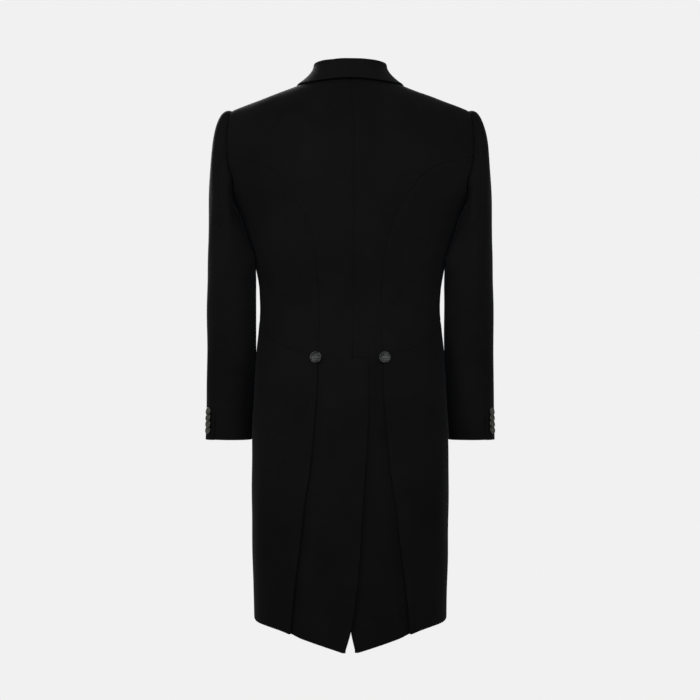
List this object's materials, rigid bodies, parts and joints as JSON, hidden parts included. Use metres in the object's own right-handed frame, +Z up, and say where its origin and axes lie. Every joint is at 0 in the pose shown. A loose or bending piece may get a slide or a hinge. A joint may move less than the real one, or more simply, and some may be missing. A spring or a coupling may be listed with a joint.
{
  "type": "morning coat",
  "caption": "Black morning coat on an unseen figure: fitted back with long tails, curved side-body seams, pleats under hip buttons, centre vent, peak lapels, hollow sleeves with cuff buttons.",
  "frame": {"origin": "middle of the neck opening, level with the seam that holds the collar at the centre back", "axes": "+Z up the wearer's spine, +X to the wearer's left, +Y out of the wearer's back, so the front faces -Y"},
  "size_m": [0.5396, 0.2479, 1.0782],
  "materials": {
    "wool": "fine matt worsted wool",
    "collar_wool": "the same wool, pressed over the collar",
    "horn": "polished dark grey horn"
  },
  "bodies": {
    "root": {"back_left": "wool", "back_right": "wool", "sidebody_left": "wool", "sidebody_right": "wool", "forepart_left": "wool", "forepart_right": "wool", "skirt_left": "wool", "skirt_right": "wool", "lapel_left": "wool", "lapel_right": "wool", "top_sleeve_left": "wool", "top_sleeve_right": "wool", "under_sleeve_left": "wool", "under_sleeve_right": "wool", "collar": "collar_wool", "hip_button_left": "horn", "hip_button_right": "horn", "front_button": "horn", "cuff_button_left_1": "horn", "cuff_button_left_2": "horn", "cuff_button_left_3": "horn", "cuff_button_left_4": "horn", "cuff_button_right_1": "horn", "cuff_button_right_2": "horn", "cuff_button_right_3": "horn", "cuff_button_right_4": "horn"}
  },
  "joints": []
}
